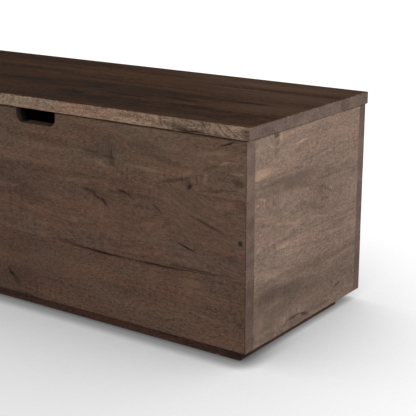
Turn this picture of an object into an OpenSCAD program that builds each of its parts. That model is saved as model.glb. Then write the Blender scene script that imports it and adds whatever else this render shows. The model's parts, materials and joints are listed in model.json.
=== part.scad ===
// Storage bench in stained solid wood: a box of edge-glued boards on a recessed plinth,
// under a hinged plank lid that two gas struts hold open.
// Millimetres. +X is to the right, -Y is the front, +Z is up, and the origin is on the
// floor, under the middle of the whole bench.

/* [Overall] */
// Height of the seat above the floor
seat_height = 457; // [440:1:480]
// Length of the case
case_length = 1064; // [960:2:1200]
// Depth of the case
case_depth = 450; // [440:2:500]
// How far the lid stands past each end of the case
lid_overhang = 5.5; // [0:0.5:12]

/* [Boards] */
// Thickness of the lid boards
lid_thickness = 25; // [24:1:30]
// Thickness of the front boards
front_thickness = 28; // [24:1:32]
// Thickness of the back and end boards
panel_thickness = 25; // [24:1:28]
// Thickness of the bottom panel
bottom_thickness = 15; // [12:1:18]
// Depth of the rabbet that holds the bottom panel
rabbet = 10; // [6:1:12]
// Gap between the case and the lid
lid_gap = 2; // [2:0.5:3]

/* [Finger slot] */
// How far the slot's middle is to the right of the case's middle
slot_offset = 17; // [-60:1:60]
// Width of the slot at the top of the front
slot_width = 106; // [90:1:140]
// Depth of the slot
slot_depth = 28; // [22:1:36]
// Radius of its two lower corners
slot_corner = 16; // [8:1:20]

/* [Plinth] */
// Height of the plinth, glides included
plinth_height = 22; // [20:1:40]
// Thickness of the plinth rails
rail_thickness = 22; // [20:1:26]
// How far the plinth stands back at the front
front_recess = 12; // [8:1:30]
// How far it stands back at each end
end_recess = 18; // [10:1:30]
// How far it stands back at the back
back_recess = 70; // [20:1:90]

/* [Lid hardware] */
// How far the lid opens, in degrees
lid_opening = 80; // [70:1:82]
// Length of a hinge leaf
leaf_length = 64; // [50:2:80]
// Distance from the hinge axis to a strut's lid stud
strut_reach = 180; // [176:1:184]

/* [Hidden] */
sides = [-1, 1];
side_names = ["left", "right"];
hinge_names = ["left", "centre", "right"];
front_names = ["lower", "middle", "upper"];

// Case
hinge_setback = 4;        // from the back face to the hinge axis
knuckle_radius = 3.5;
front_y = -(case_depth + hinge_setback + knuckle_radius) / 2;
back_y = front_y + case_depth;
end_x = case_length / 2;
inner_x = end_x - panel_thickness;
inner_front_y = front_y + front_thickness;
inner_back_y = back_y - panel_thickness;
case_bottom = plinth_height;
lid_bottom = seat_height - lid_thickness;
case_top = lid_bottom - lid_gap;
floor_z = case_bottom + bottom_thickness;
fit = 0.1;                // clearance around screws and let-in plates
cut = 1;                  // how far a cutter runs past a face

// Where the boards of each panel meet, as shares of its height or depth
front_z = spread([0, 0.35, 0.73, 1], case_bottom, case_top);
back_z = spread([0, 0.3, 0.66, 1], case_bottom, case_top);
end_z = spread([0, 0.31, 0.462, 0.805, 1], case_bottom, case_top);
lid_y = spread([0, 0.28, 0.555, 0.74, 1], front_y, back_y);

// Corner fixings: plugged screws and brads through the front and back into the ends
fixing_x = end_x - panel_thickness / 2;
plug_z = spread([0.14, 0.53, 0.885], case_bottom, case_top);
brad_z = spread([0.095, 0.335, 0.478, 0.567], case_bottom, case_top);
plug_radius = 5;
plug_depth = 8;
brad_radius = 1.1;
brad_length = 45;

// Plinth
glide_height = 2;
glide_radius = 9;
glide_pin_radius = 3;
glide_pin_length = 8;
rail_x = end_x - end_recess;
rail_front_y = front_y + front_recess;
rail_back_y = back_y - back_recess;
corner_block = 45;
corner_block_lift = 2;
block_screw_inset = corner_block / 3;
plinth_screw_length = 26;

// Battens and bumpers
batten_x = 300;
batten_width = 50;
batten_height = 18;
batten_inset = 45;
batten_screw_spread = 12;
batten_screw_length = 36;
bumper_height = 1.8;
bumper_radius = 6;

// Hinges
hinge_y = back_y + hinge_setback;
hinge_z = case_top + lid_gap / 2;
hinge_x = [-0.37 * case_length, 0, 0.37 * case_length];
leaf_thickness = 2;
leaf_width = 22;
knuckles = 5;
pin_radius = 1.75;
pin_head_radius = 2.8;
pin_head_height = 1.5;
pin_clearance = 0.06;
knuckle_gap = 0.15;
leaf_screw_x = [-0.34 * leaf_length, 0, 0.34 * leaf_length];

// Struts. Both studs of a strut are equally far from the hinge axis, so the strut turns
// by half the lid's angle at each end.
strut_x = inner_x - 14;
lid_stud_drop = 13;
lid_stud = [hinge_y - strut_reach, hinge_z - lid_stud_drop];
stud_radius = norm([strut_reach, lid_stud_drop]);
lid_stud_angle = atan2(lid_stud_drop, strut_reach);
case_stud_angle = 74;
case_stud = [hinge_y - stud_radius * cos(case_stud_angle),
             hinge_z - stud_radius * sin(case_stud_angle)];
closed_length = strut_length(0);
open_length = strut_length(lid_opening);
strut_lean = atan2(case_stud[0] - lid_stud[0], lid_stud[1] - case_stud[1]);
socket_length = 16;       // from a ball's centre to the tube or rod
tube_radius = 7.5;
bore_radius = 6.6;
gland_radius = 3.1;
gland_length = 7;
rod_radius = 3;
piston_radius = 6.4;
piston_length = 6;
piston_play = 1.5;        // left at each end of the travel
tube_floor = 3;
piston_low = socket_length + tube_floor + piston_play;
stroke = open_length - closed_length;
tube_end = piston_low + stroke + piston_length + piston_play + gland_length;
ball_radius = 5;
ball_play = 0.15;
neck_radius = 2.6;
socket_radius = 8;
socket_back = 8;
socket_mouth = 4.2;
lip_start = 3;            // from the ball's centre to the lip
lip_radius = 4.15;
stem_radius = 4;
plate_thickness = 2;
case_plate = [30, 44];
lid_plate = [26, 40];
tab_x = strut_x + 10;
tab_width = 22;
bracket_screw_pitch = 14;
lid_screw_pitch = 13;

// Screws: [head radius, shank radius, length]
leaf_screw = [3.3, 1.6, 18];
bracket_screw = [3.3, 1.6, 17];
batten_screw = [4, 2, batten_screw_length];
plinth_screw = [4, 2, plinth_screw_length];
corner_screw_head = 4.4;
corner_screw_shank = 2.2;
corner_screw_length = 52;
screw_tip = 4;

front_brown = "#5b473a";
end_brown = "#7a685c";
lid_brown = "#4a3a31";
inner_brown = "#6e5a4b";
plug_brown = "#2e2621";
steel = "#8d8d8a";
dark_steel = "#2b2c2e";

$fn = 48;

function spread(shares, low, high) = [for (share = shares) low + share * (high - low)];
function middle(edges, i) = (edges[i] + edges[i + 1]) / 2;
function strut_length(angle) =
    2 * stud_radius * sin((case_stud_angle - lid_stud_angle + angle) / 2);
// The heights of a list that fall between two edges of a board
function within(heights, low, high) = [for (z = heights) if (z > low && z < high) z];

// A box from its ranges along X, Y and Z
module span(x, y, z) {
    translate([x[0], y[0], z[0]])
        cube([x[1] - x[0], y[1] - y[0], z[1] - z[0]]);
}

// A countersunk screw that points along +Z with its head's face at the origin
module countersunk(size, grow = 0) {
    head = size[0] + grow;
    shank = size[1] + grow;
    rotate_extrude()
        polygon([[0, -grow], [head, -grow], [head, 0], [shank, head - shank],
                 [shank, size[2] - screw_tip], [0, size[2] + grow]]);
}

// A plate in the YZ plane with its corners cut off, thick along +X
module bevelled_plate(width, height, thickness) {
    bevel = 5;
    a = width / 2;
    b = height / 2;
    rotate([90, 0, 90])
        linear_extrude(thickness)
            polygon([[-a, bevel - b], [bevel - a, -b], [a - bevel, -b], [a, bevel - b],
                     [a, b - bevel], [a - bevel, b], [bevel - a, b], [-a, b - bevel]]);
}

// ---- Case ----

// Plug holes and screw holes, or brad holes, through one face of the case. The face is
// at face_y, inwards is +1 or -1 along Y, and only the given heights are cut.
module corner_holes(face_y, inwards, low, high) {
    for (side = sides)
        translate([side * fixing_x, face_y, 0])
            rotate([-90 * inwards, 0, 0]) {
                for (z = within(plug_z, low, high))
                    translate([0, -inwards * z, 0]) {
                        translate([0, 0, -cut])
                            cylinder(r = plug_radius, h = plug_depth + cut);
                        cylinder(r = corner_screw_shank + fit, h = corner_screw_length + fit);
                    }
                for (z = within(brad_z, low, high))
                    translate([0, -inwards * z, -cut])
                        cylinder(r = brad_radius + fit, h = brad_length + cut + fit);
            }
}

// Puts its children at each corner fixing of a list of heights, pointing inwards
module at_fixings(heights) {
    for (side = sides, inwards = [1, -1], z = heights)
        translate([side * fixing_x, inwards > 0 ? front_y : back_y, z])
            rotate([-90 * inwards, 0, 0])
                children();
}

// The bottom panel's space, which the lowest boards give up as a rabbet
module bottom_space() {
    span([-inner_x - rabbet, inner_x + rabbet],
         [inner_front_y - rabbet, inner_back_y + rabbet],
         [case_bottom, floor_z]);
}

module finger_slot() {
    reach = slot_width / 2 - slot_corner;
    translate([slot_offset, inner_front_y + cut, case_top])
        rotate([90, 0, 0])
            linear_extrude(front_thickness + 2 * cut) {
                translate([-slot_width / 2, slot_corner - slot_depth])
                    square([slot_width, slot_depth - slot_corner + cut]);
                translate([-reach, -slot_depth])
                    square([2 * reach, slot_depth]);
                for (side = sides)
                    translate([side * reach, slot_corner - slot_depth])
                        circle(slot_corner);
            }
}

module front_board(i) {
    low = front_z[i];
    high = front_z[i + 1];
    color(front_brown)
        difference() {
            span([-end_x, end_x], [front_y, inner_front_y], [low, high]);
            if (i == 0) bottom_space();
            if (i == 2) finger_slot();
            corner_holes(front_y, 1, low, high);
        }
}

module back_board(i) {
    low = back_z[i];
    high = back_z[i + 1];
    color(inner_brown)
        difference() {
            span([-end_x, end_x], [inner_back_y, back_y], [low, high]);
            if (i == 0) bottom_space();
            if (i == 2) {
                leaf_mortises(case_top - leaf_thickness, case_top + cut);
                at_case_leaf_screws() countersunk(leaf_screw, fit);
            }
            corner_holes(back_y, -1, low, high);
        }
}

module end_board(side, i) {
    low = end_z[i];
    high = end_z[i + 1];
    x = side > 0 ? [inner_x, end_x] : [-end_x, -inner_x];
    color(end_brown)
        difference() {
            span(x, [inner_front_y, inner_back_y], [low, high]);
            if (i == 0) bottom_space();
            corner_holes(front_y, 1, low, high);
            corner_holes(back_y, -1, low, high);
            if (i == 2) at_case_bracket_screws(side) countersunk(bracket_screw, fit);
        }
}

module bottom_panel() {
    color(inner_brown)
        difference() {
            bottom_space();
            at_plinth_screws() countersunk(plinth_screw, fit);
        }
}

module corner_screws() {
    color(steel)
        at_fixings(plug_z)
            translate([0, 0, plug_depth - corner_screw_head / 2])
                rotate_extrude()
                    polygon([[0, 0], [corner_screw_head, 0],
                             [corner_screw_head, corner_screw_head / 2],
                             [corner_screw_shank, corner_screw_head / 2],
                             [corner_screw_shank, corner_screw_length - plug_depth],
                             [0, corner_screw_length - plug_depth + corner_screw_head / 2]]);
}

module corner_plugs() {
    color(plug_brown)
        at_fixings(plug_z)
            cylinder(r = plug_radius - fit / 2, h = plug_depth - corner_screw_head / 2);
}

module corner_brads() {
    color(dark_steel)
        at_fixings(brad_z)
            cylinder(r = brad_radius, h = brad_length);
}

// ---- Plinth ----

module rail(points) {
    translate([0, 0, glide_height])
        linear_extrude(plinth_height - glide_height)
            polygon(points);
}

// The front or back rail, mitred at both ends. Its outer face is at y.
module long_rail(y, inwards) {
    inner = y + inwards * rail_thickness;
    difference() {
        rail([[-rail_x, y], [rail_x, y],
              [rail_x - rail_thickness, inner], [rail_thickness - rail_x, inner]]);
        at_glides() cylinder(r = glide_pin_radius + fit, h = glide_pin_length + fit);
    }
}

module plinth_front_rail() {
    color(end_brown) long_rail(rail_front_y, 1);
}

module plinth_back_rail() {
    color(end_brown) long_rail(rail_back_y, -1);
}

module end_rail(side) {
    inner = rail_x - rail_thickness;
    color(end_brown)
        rail([[side * rail_x, rail_front_y], [side * rail_x, rail_back_y],
              [side * inner, rail_back_y - rail_thickness],
              [side * inner, rail_front_y + rail_thickness]]);
}

module plinth_cross_rail() {
    color(inner_brown)
        difference() {
            span([-rail_thickness / 2, rail_thickness / 2],
                 [rail_front_y + rail_thickness, rail_back_y - rail_thickness],
                 [glide_height, plinth_height]);
            at_cross_rail_screws() countersunk(plinth_screw, fit);
        }
}

// Puts its children at each inner corner of the plinth, with X and Y along the rails
module at_plinth_corners() {
    inner_rail_x = rail_x - rail_thickness;
    for (side = sides) {
        translate([side * inner_rail_x, rail_front_y + rail_thickness, 0])
            scale([-side, 1, 1]) children();
        translate([side * inner_rail_x, rail_back_y - rail_thickness, 0])
            scale([-side, -1, 1]) children();
    }
}

module plinth_corner_blocks() {
    low = glide_height + corner_block_lift;
    color(inner_brown)
        difference() {
            at_plinth_corners()
                translate([0, 0, low])
                    linear_extrude(plinth_height - low)
                        polygon([[0, 0], [corner_block, 0], [0, corner_block]]);
            at_block_screws() countersunk(plinth_screw, fit);
        }
}

module at_block_screws() {
    at_plinth_corners()
        translate([block_screw_inset, block_screw_inset, glide_height + corner_block_lift])
            children();
}

module at_cross_rail_screws() {
    for (y = [-0.3, 0, 0.3] * (rail_back_y - rail_front_y))
        translate([0, (rail_front_y + rail_back_y) / 2 + y, glide_height])
            children();
}

module at_plinth_screws() {
    at_block_screws() children();
    at_cross_rail_screws() children();
}

module plinth_screws() {
    color(steel)
        at_plinth_screws() countersunk(plinth_screw);
}

module at_glides() {
    for (x = [-1, 0, 1] * (rail_x - corner_block - glide_radius),
         y = [rail_front_y + rail_thickness / 2, rail_back_y - rail_thickness / 2])
        translate([x, y, glide_height])
            children();
}

module floor_glides() {
    color("#e4e2da")
        at_glides() {
            translate([0, 0, -glide_height])
                cylinder(r = glide_radius, h = glide_height);
            cylinder(r = glide_pin_radius, h = glide_pin_length);
        }
}

// ---- Hinges ----

module leaf_mortises(low, high) {
    for (x = hinge_x)
        span([x - leaf_length / 2 - fit, x + leaf_length / 2 + fit],
             [back_y - leaf_width - fit, back_y + cut], [low, high]);
}

// One leaf, with its own share of the knuckles. The case's leaf has the odd ones.
module hinge_leaf(x, low, first, bore) {
    segment = leaf_length / knuckles;
    color(steel)
        difference() {
            union() {
                span([x - leaf_length / 2, x + leaf_length / 2],
                     [back_y - leaf_width, back_y], [low, low + leaf_thickness]);
                for (i = [first : 2 : knuckles - 1]) {
                    start = x - leaf_length / 2 + i * segment + knuckle_gap;
                    wide = segment - 2 * knuckle_gap;
                    span([start, start + wide], [back_y, hinge_y], [low, low + leaf_thickness]);
                    translate([start, hinge_y, hinge_z])
                        rotate([0, 90, 0])
                            cylinder(r = knuckle_radius, h = wide);
                }
            }
            translate([x - leaf_length / 2 - cut, hinge_y, hinge_z])
                rotate([0, 90, 0])
                    cylinder(r = bore, h = leaf_length + 2 * cut);
            if (first == 0) at_case_leaf_screws() countersunk(leaf_screw, fit);
            if (first == 1) at_lid_leaf_screws() countersunk(leaf_screw, fit);
        }
}

module hinge_case_leaf(i) {
    hinge_leaf(hinge_x[i], case_top - leaf_thickness, 0, pin_radius);
}

module hinge_lid_leaf(i) {
    hinge_leaf(hinge_x[i], lid_bottom, 1, pin_radius + pin_clearance);
}

module at_case_leaf_screws() {
    for (x = hinge_x, offset = leaf_screw_x)
        translate([x + offset, back_y - leaf_width / 2 - 1, case_top])
            rotate([180, 0, 0]) children();
}

module at_lid_leaf_screws() {
    for (x = hinge_x, offset = leaf_screw_x)
        translate([x + offset, back_y - leaf_width / 2 - 1, lid_bottom])
            children();
}

module hinge_pins() {
    color(steel)
        for (x = hinge_x)
            translate([x, hinge_y, hinge_z])
                rotate([0, 90, 0]) {
                    cylinder(r = pin_radius, h = leaf_length, center = true);
                    for (side = sides)
                        translate([0, 0, side * (leaf_length + pin_head_height) / 2])
                            cylinder(r = pin_head_radius, h = pin_head_height, center = true);
                }
}

module hinge_case_screws() {
    color(steel) at_case_leaf_screws() countersunk(leaf_screw);
}

module hinge_lid_screws() {
    color(steel) at_lid_leaf_screws() countersunk(leaf_screw);
}

// ---- Lid ----

module lid_board(i) {
    low = lid_y[i];
    high = lid_y[i + 1];
    length = end_x + lid_overhang;
    color(lid_brown)
        difference() {
            span([-length, length], [low, high], [lid_bottom, seat_height]);
            at_batten_screws(i) countersunk(batten_screw, fit);
            if (i == 2)
                for (side = sides)
                    at_lid_bracket_screws(side) countersunk(bracket_screw, fit);
            if (i == 3) {
                leaf_mortises(lid_bottom - cut, lid_bottom + leaf_thickness);
                at_lid_leaf_screws() countersunk(leaf_screw, fit);
            }
        }
}

// The batten screws into one board of the lid
module at_batten_screws(i) {
    for (side = sides, offset = [-batten_screw_spread, batten_screw_spread])
        translate([side * batten_x + offset, middle(lid_y, i), lid_bottom - batten_height])
            children();
}

module lid_batten(side) {
    x = side * batten_x;
    color(lid_brown)
        difference() {
            span([x - batten_width / 2, x + batten_width / 2],
                 [front_y + batten_inset, back_y - batten_inset],
                 [lid_bottom - batten_height, lid_bottom]);
            for (i = [0:3]) at_batten_screws(i) countersunk(batten_screw, fit);
        }
}

module batten_screws() {
    color(steel)
        for (i = [0:3]) at_batten_screws(i) countersunk(batten_screw);
}

module lid_bumpers() {
    spots = [[end_x - 40, front_y + front_thickness / 2],
             [end_x - panel_thickness / 2, 0]];
    color("#b9b4aa")
        for (side = sides, spot = spots)
            translate([side * spot[0], spot[1], lid_bottom - bumper_height])
                cylinder(r = bumper_radius, h = bumper_height);
}

// ---- Struts ----

// A ball stud that points along -X from a plate's face to the ball's centre
module ball_stud(length) {
    sphere(ball_radius);
    rotate([0, 90, 0]) cylinder(r = neck_radius, h = length);
}

module at_case_bracket_screws(side) {
    for (offset = [-bracket_screw_pitch, bracket_screw_pitch])
        translate([side * (inner_x - plate_thickness), case_stud[0], case_stud[1] + offset])
            rotate([0, 90 * side, 0])
                children();
}

module strut_case_bracket(side) {
    color(dark_steel)
        difference() {
            scale([side, 1, 1])
                translate([strut_x, case_stud[0], case_stud[1]]) {
                    ball_stud(inner_x - plate_thickness - strut_x);
                    translate([inner_x - plate_thickness - strut_x, 0, 0])
                        bevelled_plate(case_plate[0], case_plate[1], plate_thickness);
                }
            at_case_bracket_screws(side) countersunk(bracket_screw, fit);
        }
}

module strut_case_screws() {
    color(steel)
        for (side = sides) at_case_bracket_screws(side) countersunk(bracket_screw);
}

module at_lid_bracket_screws(side) {
    x = side * (tab_x + plate_thickness - lid_plate[0] / 2 - 2);
    for (offset = [-lid_screw_pitch, lid_screw_pitch])
        translate([x, lid_stud[0] + offset, lid_bottom - plate_thickness])
            children();
}

module strut_lid_bracket(side) {
    outer = tab_x + plate_thickness;
    color(dark_steel)
        difference() {
            scale([side, 1, 1]) {
                span([outer - lid_plate[0], outer],
                     [lid_stud[0] - lid_plate[1] / 2, lid_stud[0] + lid_plate[1] / 2],
                     [lid_bottom - plate_thickness, lid_bottom]);
                span([tab_x, outer],
                     [lid_stud[0] - tab_width / 2, lid_stud[0] + tab_width / 2],
                     [lid_stud[1] - ball_radius - 2, lid_bottom]);
                translate([strut_x, lid_stud[0], lid_stud[1]])
                    ball_stud(tab_x - strut_x);
            }
            at_lid_bracket_screws(side) countersunk(bracket_screw, fit);
        }
}

module strut_lid_screws() {
    color(steel)
        for (side = sides) at_lid_bracket_screws(side) countersunk(bracket_screw);
}

// Puts its children on one strut, with the case's stud at the origin and +Z to the lid's
module along_strut(side) {
    translate([side * strut_x, case_stud[0], case_stud[1]])
        rotate([strut_lean, 0, 0])
            scale([side, 1, 1])
                children();
}

// A ball socket at the origin, open towards +X, with its stem along +Z. A lip at the
// mouth keeps the ball in.
module ball_socket() {
    bore = ball_radius + ball_play;
    color(dark_steel)
        difference() {
            union() {
                translate([-socket_back, 0, 0])
                    rotate([0, 90, 0])
                        cylinder(r = socket_radius, h = socket_back + socket_mouth);
                cylinder(r = stem_radius, h = socket_length);
            }
            translate([-bore, 0, 0])
                rotate([0, 90, 0])
                    cylinder(r = bore, h = bore + lip_start);
            rotate([0, 90, 0])
                cylinder(r = lip_radius, h = socket_mouth + cut);
        }
}

module strut_cylinder(side) {
    inner_end = tube_end - gland_length;
    along_strut(side)
        color(dark_steel)
            rotate_extrude()
                polygon([[0, socket_length], [tube_radius, socket_length],
                         [tube_radius, tube_end], [gland_radius, tube_end],
                         [gland_radius, inner_end], [bore_radius, inner_end],
                         [bore_radius, socket_length + tube_floor],
                         [0, socket_length + tube_floor]]);
}

module cylinder_socket(side) {
    along_strut(side) ball_socket();
}

module strut_rod(side) {
    piston_top = piston_low + piston_length;
    rod_end = closed_length - socket_length;
    along_strut(side)
        color(steel)
            rotate_extrude()
                polygon([[0, piston_low], [piston_radius, piston_low],
                         [piston_radius, piston_top], [rod_radius, piston_top],
                         [rod_radius, rod_end], [0, rod_end]]);
}

module rod_socket(side) {
    along_strut(side)
        translate([0, 0, closed_length])
            mirror([0, 0, 1])
                ball_socket();
}

// ---- Nodes ----

for (i = [0:2]) {
    front_board(i);
    back_board(i);
    hinge_case_leaf(i);
    hinge_lid_leaf(i);
}
for (i = [0:3])
    lid_board(i);
for (s = [0, 1]) {
    side = sides[s];
    name = side_names[s];
    for (i = [0:3])
        end_board(side, i);
    end_rail(side);
    lid_batten(side);
    strut_case_bracket(side);
    strut_lid_bracket(side);
    strut_cylinder(side);
    cylinder_socket(side);
    strut_rod(side);
    rod_socket(side);
}
bottom_panel();
plinth_front_rail();
plinth_back_rail();
plinth_cross_rail();
plinth_corner_blocks();
plinth_screws();
floor_glides();
corner_screws();
corner_plugs();
corner_brads();
batten_screws();
lid_bumpers();
hinge_pins();
hinge_case_screws();
hinge_lid_screws();
strut_case_screws();
strut_lid_screws();
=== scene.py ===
# Looks of the storage bench: eased boards in stained wood with grain, knots and checks,
# and hardware with rounded edges, recesses and clips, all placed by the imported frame.
# Metres and degrees, in the frame's own axes.

import json
import math

import bmesh
import bpy
from mathutils import Matrix, Vector


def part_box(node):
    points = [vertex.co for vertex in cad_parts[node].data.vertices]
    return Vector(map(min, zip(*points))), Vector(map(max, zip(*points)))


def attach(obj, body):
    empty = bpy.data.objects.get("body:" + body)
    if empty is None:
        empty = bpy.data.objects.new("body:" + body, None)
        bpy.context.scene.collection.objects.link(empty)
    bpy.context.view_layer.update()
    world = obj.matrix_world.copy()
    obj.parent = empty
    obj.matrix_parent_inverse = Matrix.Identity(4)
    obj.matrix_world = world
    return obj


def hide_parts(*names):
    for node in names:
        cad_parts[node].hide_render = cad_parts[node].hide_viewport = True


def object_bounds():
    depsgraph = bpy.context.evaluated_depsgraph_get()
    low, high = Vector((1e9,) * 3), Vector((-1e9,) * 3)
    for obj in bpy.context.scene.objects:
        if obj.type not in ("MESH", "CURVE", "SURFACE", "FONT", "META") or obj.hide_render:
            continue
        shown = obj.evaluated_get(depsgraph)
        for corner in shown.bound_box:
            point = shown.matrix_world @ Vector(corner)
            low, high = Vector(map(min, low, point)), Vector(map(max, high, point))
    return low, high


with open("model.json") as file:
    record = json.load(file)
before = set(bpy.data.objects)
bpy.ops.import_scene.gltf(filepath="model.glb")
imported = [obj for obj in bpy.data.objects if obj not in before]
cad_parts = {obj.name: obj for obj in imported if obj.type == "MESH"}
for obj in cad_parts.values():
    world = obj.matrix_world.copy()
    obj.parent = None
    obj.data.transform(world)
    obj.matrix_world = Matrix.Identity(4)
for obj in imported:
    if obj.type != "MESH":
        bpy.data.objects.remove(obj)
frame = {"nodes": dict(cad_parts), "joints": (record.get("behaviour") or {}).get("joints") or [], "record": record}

MM = 0.001
cad_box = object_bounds()
record = frame["record"]
BODY = {node: body for body, nodes in record["behaviour"]["bodies"].items() for node in nodes}
JOINT_AT = {joint["name"]: Vector(joint["pos_m"]) for joint in frame["joints"]}


# ---- Boxes of the whole case, its cavity and the lid ----

def union_box(names):
    boxes = [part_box(name) for name in names]
    low = Vector([min(box[0][i] for box in boxes) for i in range(3)])
    high = Vector([max(box[1][i] for box in boxes) for i in range(3)])
    return low, high


FRONT_BOARDS = ["front_board_lower", "front_board_middle", "front_board_upper"]
BACK_BOARDS = ["back_board_lower", "back_board_middle", "back_board_upper"]
END_BOARDS = [f"{side}_end_board_{i}" for side in ("left", "right") for i in (1, 2, 3, 4)]
LID_BOARDS = [f"lid_board_{i}" for i in (1, 2, 3, 4)]
CASE_BOX = union_box(FRONT_BOARDS + BACK_BOARDS + END_BOARDS)
LID_BOX = union_box(LID_BOARDS)
PLINTH_BOX = union_box([f"plinth_{side}_rail" for side in ("front", "back", "left", "right")])
FRONT_Y = CASE_BOX[0].y
FRONT_INNER_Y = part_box("front_board_upper")[1].y
JOINT_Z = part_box("front_board_middle")[0].z
SLOT_MIDDLE = Vector((17 * MM, (FRONT_Y + FRONT_INNER_Y) / 2, CASE_BOX[1].z - 13 * MM))
SLOT_REACH = 66 * MM      # further from its middle than any corner of the slot


# ---- Node graphs ----

class Graph:
    """Short calls that add nodes to one node tree. A value is a socket or a plain number."""

    def __init__(self, tree):
        self.tree = tree

    def node(self, kind, **settings):
        made = self.tree.nodes.new(kind)
        for name, value in settings.items():
            setattr(made, name, value)
        return made

    def put(self, socket, value):
        if isinstance(value, bpy.types.NodeSocket):
            self.tree.links.new(value, socket)
        elif value is not None:
            socket.default_value = value

    def fill(self, sockets, values):
        for socket, value in zip(sockets, values):
            self.put(socket, value)

    def object_place(self):
        return self.node("ShaderNodeTexCoord").outputs["Object"]

    def math(self, operation, a, b=None, c=None):
        made = self.node("ShaderNodeMath", operation=operation)
        self.fill(made.inputs, (a, b, c))
        return made.outputs[0]

    def times(self, a, b):
        return self.math("MULTIPLY", a, b)

    def plus(self, a, b):
        return self.math("ADD", a, b)

    def minus(self, a, b):
        return self.math("SUBTRACT", a, b)

    def vector(self, operation, a, b=None):
        made = self.node("ShaderNodeVectorMath", operation=operation)
        self.fill(made.inputs, (a, b))
        return made.outputs["Value" if operation == "LENGTH" else "Vector"]

    def split(self, vector):
        made = self.node("ShaderNodeSeparateXYZ")
        self.put(made.inputs[0], vector)
        return made.outputs

    def join(self, x, y, z):
        made = self.node("ShaderNodeCombineXYZ")
        self.fill(made.inputs, (x, y, z))
        return made.outputs[0]

    def noise(self, vector, stretch, detail=2.0, roughness=0.5, output=0):
        made = self.node("ShaderNodeTexNoise")
        self.put(made.inputs["Vector"], self.vector("MULTIPLY", vector, stretch))
        made.inputs["Scale"].default_value = 1.0
        made.inputs["Detail"].default_value = detail
        made.inputs["Roughness"].default_value = roughness
        return made.outputs[output]

    def noise_along(self, value, scale, detail=2.0):
        made = self.node("ShaderNodeTexNoise", noise_dimensions="1D")
        self.put(made.inputs["W"], self.times(value, scale))
        made.inputs["Scale"].default_value = 1.0
        made.inputs["Detail"].default_value = detail
        return made.outputs[0]

    def ramp(self, value, low, high, to_low=0.0, to_high=1.0, smooth=True):
        made = self.node("ShaderNodeMapRange")
        made.interpolation_type = "SMOOTHSTEP" if smooth else "LINEAR"
        self.fill(made.inputs, (value, low, high, to_low, to_high))
        return made.outputs[0]

    def mix(self, factor, a, b, blend="MIX"):
        made = self.node("ShaderNodeMix", data_type="RGBA", blend_type=blend)
        self.fill((made.inputs[0], made.inputs[6], made.inputs[7]), (factor, a, b))
        return made.outputs[2]

    def total(self, values):
        result = values[0]
        for value in values[1:]:
            result = self.plus(result, value)
        return result


def centred(g, value, weight):
    """A noise value moved to swing about zero, times a weight."""
    return g.times(g.minus(value, 0.5), weight)


def linear(red, green, blue):
    """A colour given in sRGB, 0 to 255, as the linear colour a shader takes."""
    def channel(c):
        c /= 255
        return c / 12.92 if c <= 0.04045 else ((c + 0.055) / 1.055) ** 2.4
    return (channel(red), channel(green), channel(blue), 1.0)


def scaled(colour, factors):
    return tuple([min(1.0, c * f) for c, f in zip(colour, factors)] + [1.0])


def new_material(name, specular, roughness=0.5):
    material = bpy.data.materials.new(name)
    material.use_nodes = True
    shader = material.node_tree.nodes["Principled BSDF"]
    shader.inputs["Specular IOR Level"].default_value = specular
    shader.inputs["Roughness"].default_value = roughness
    return material, Graph(material.node_tree), shader


def add_bump(graph, shader, height, distance, strength=1.0):
    bump = graph.node("ShaderNodeBump")
    bump.inputs["Distance"].default_value = distance
    bump.inputs["Strength"].default_value = strength
    graph.put(bump.inputs["Height"], height)
    graph.put(shader.inputs["Normal"], bump.outputs["Normal"])


# ---- Stained wood ----

PITH_DEPTH = 0.07         # how far the heart of the log lies below a board's face
RING_WIDTH = 0.007


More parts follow.
